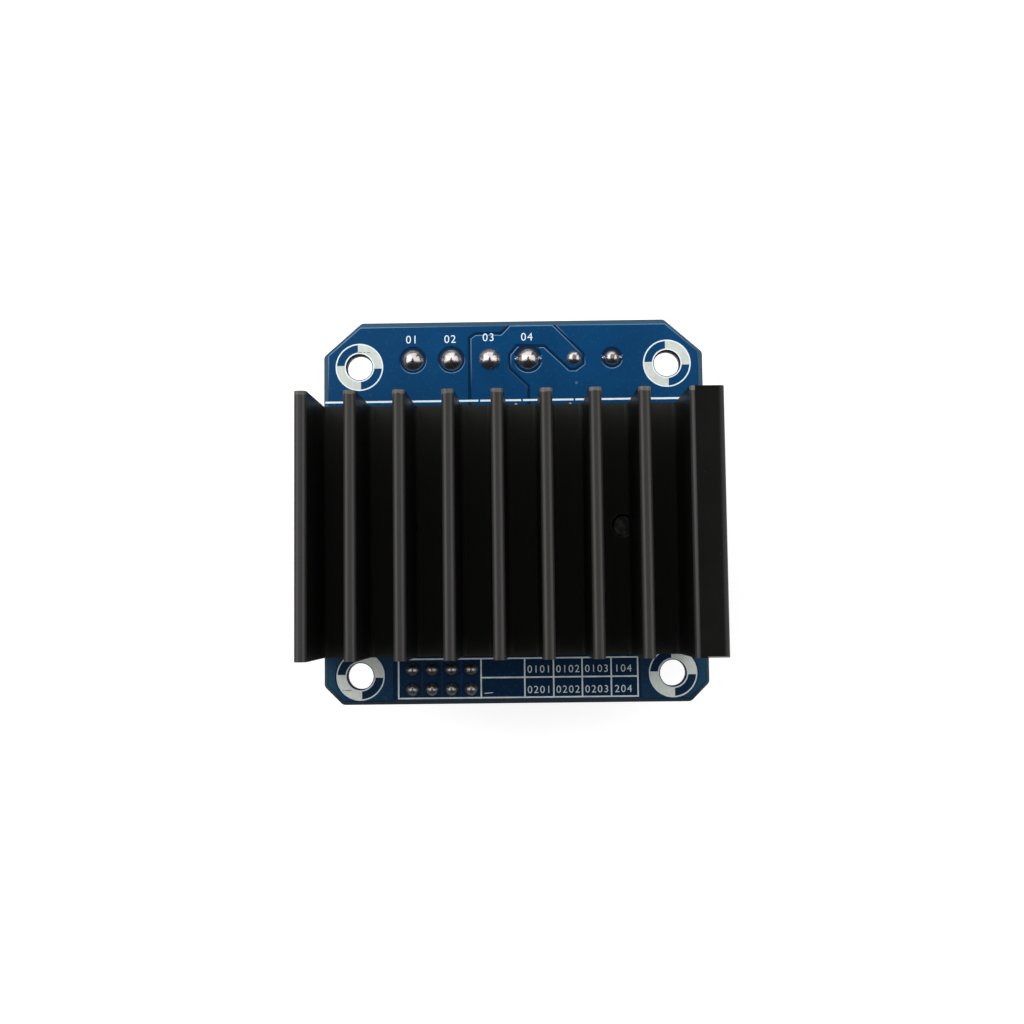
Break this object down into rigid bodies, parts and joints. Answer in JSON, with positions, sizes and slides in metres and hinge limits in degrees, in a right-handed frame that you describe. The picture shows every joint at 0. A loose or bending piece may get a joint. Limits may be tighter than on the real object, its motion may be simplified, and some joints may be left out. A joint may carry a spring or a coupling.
{
  "type": "dc motor driver module",
  "caption": "Square circuit board with a black finned heatsink screwed to its solder side, and screw terminals, power chips, a capacitor and a pin header beneath.",
  "frame": {"origin": "centre of the four corner holes, on the board's solder face", "axes": "+Z out of the heatsink's fins, +Y towards the board edge with the screw terminals, +X towards the capacitor's end of that edge"},
  "size_m": [0.0513, 0.0502, 0.0324],
  "materials": {
    "solder_mask": "blue solder mask over glass-fibre laminate",
    "black_anodised": "black anodised extrusion with sawn ends",
    "silicone_pad": "matt grey silicone",
    "screw_steel": "bright zinc plate",
    "cage_steel": "zinc plate",
    "terminal_plastic": "moulded blue polyamide",
    "solder": "bright solder",
    "bare_aluminium": "bare drawn can",
    "sleeve_plastic": "shrunk black sleeve",
    "bung_rubber": "black rubber",
    "tinned_wire": "tinned wire",
    "tinned_copper": "tin plate over copper",
    "header_plastic": "moulded black",
    "gilt_pins": "flash gilt",
    "chip_epoxy": "moulded black epoxy",
    "resistor_black": "black coated ceramic",
    "capacitor_ceramic": "tan ceramic"
  },
  "bodies": {
    "board_assembly": {"circuit_board": "solder_mask", "thermal_pad": "silicone_pad", "heatsink": "black_anodised", "heatsink_screws": "screw_steel", "terminal_housing": "terminal_plastic", "terminal_contact_1": "tinned_copper", "terminal_contact_2": "tinned_copper", "terminal_contact_3": "tinned_copper", "terminal_contact_4": "tinned_copper", "terminal_solder_joints": "solder", "capacitor_can": "bare_aluminium", "capacitor_sleeve": "sleeve_plastic", "capacitor_bung": "bung_rubber", "capacitor_leads": "tinned_wire", "capacitor_solder_joints": "solder", "header_base": "header_plastic", "header_pins": "gilt_pins", "header_solder_joints": "solder", "bridge_chip_1_body": "chip_epoxy", "bridge_chip_1_tab": "tinned_copper", "bridge_chip_1_leads": "tinned_copper", "bridge_chip_2_body": "chip_epoxy", "bridge_chip_2_tab": "tinned_copper", "bridge_chip_2_leads": "tinned_copper", "buffer_chip_body": "chip_epoxy", "buffer_chip_leads": "tinned_copper", "resistor_bodies": "resistor_black", "resistor_ends": "solder", "chip_capacitor_bodies": "capacitor_ceramic", "chip_capacitor_ends": "solder"},
    "clamp_screw_1": {"clamp_screw_1": "screw_steel"},
    "clamp_screw_2": {"clamp_screw_2": "screw_steel"},
    "clamp_screw_3": {"clamp_screw_3": "screw_steel"},
    "clamp_screw_4": {"clamp_screw_4": "screw_steel"},
    "clamp_cage_1": {"clamp_cage_1": "cage_steel"},
    "clamp_cage_2": {"clamp_cage_2": "cage_steel"},
    "clamp_cage_3": {"clamp_cage_3": "cage_steel"},
    "clamp_cage_4": {"clamp_cage_4": "cage_steel"}
  },
  "joints": [
    {"name": "clamp_screw_1_turn", "type": "hinge", "parent": "board_assembly", "child": "clamp_screw_1", "pos_m": [-0.01322, 0.0216, -0.0125], "axis": [0, 0, 1], "range_deg": [0, 1728]},
    {"name": "clamp_cage_1_rise", "type": "slide", "parent": "board_assembly", "child": "clamp_cage_1", "axis": [0, 0, -1], "range_m": [0, 0.0024]},
    {"name": "clamp_screw_2_turn", "type": "hinge", "parent": "board_assembly", "child": "clamp_screw_2", "pos_m": [-0.00814, 0.0216, -0.0125], "axis": [0, 0, 1], "range_deg": [0, 1728]},
    {"name": "clamp_cage_2_rise", "type": "slide", "parent": "board_assembly", "child": "clamp_cage_2", "axis": [0, 0, -1], "range_m": [0, 0.0024]},
    {"name": "clamp_screw_3_turn", "type": "hinge", "parent": "board_assembly", "child": "clamp_screw_3", "pos_m": [-0.00306, 0.0216, -0.0125], "axis": [0, 0, 1], "range_deg": [0, 1728]},
    {"name": "clamp_cage_3_rise", "type": "slide", "parent": "board_assembly", "child": "clamp_cage_3", "axis": [0, 0, -1], "range_m": [0, 0.0024]},
    {"name": "clamp_screw_4_turn", "type": "hinge", "parent": "board_assembly", "child": "clamp_screw_4", "pos_m": [0.00202, 0.0216, -0.0125], "axis": [0, 0, 1], "range_deg": [0, 1728]},
    {"name": "clamp_cage_4_rise", "type": "slide", "parent": "board_assembly", "child": "clamp_cage_4", "axis": [0, 0, -1], "range_m": [0, 0.0024]}
  ],
  "couplings": [
    {"joint": "clamp_screw_1_turn", "follows": "clamp_cage_1_rise", "rad_per_m": 12566},
    {"joint": "clamp_screw_2_turn", "follows": "clamp_cage_2_rise", "rad_per_m": 12566},
    {"joint": "clamp_screw_3_turn", "follows": "clamp_cage_3_rise", "rad_per_m": 12566},
    {"joint": "clamp_screw_4_turn", "follows": "clamp_cage_4_rise", "rad_per_m": 12566}
  ]
}
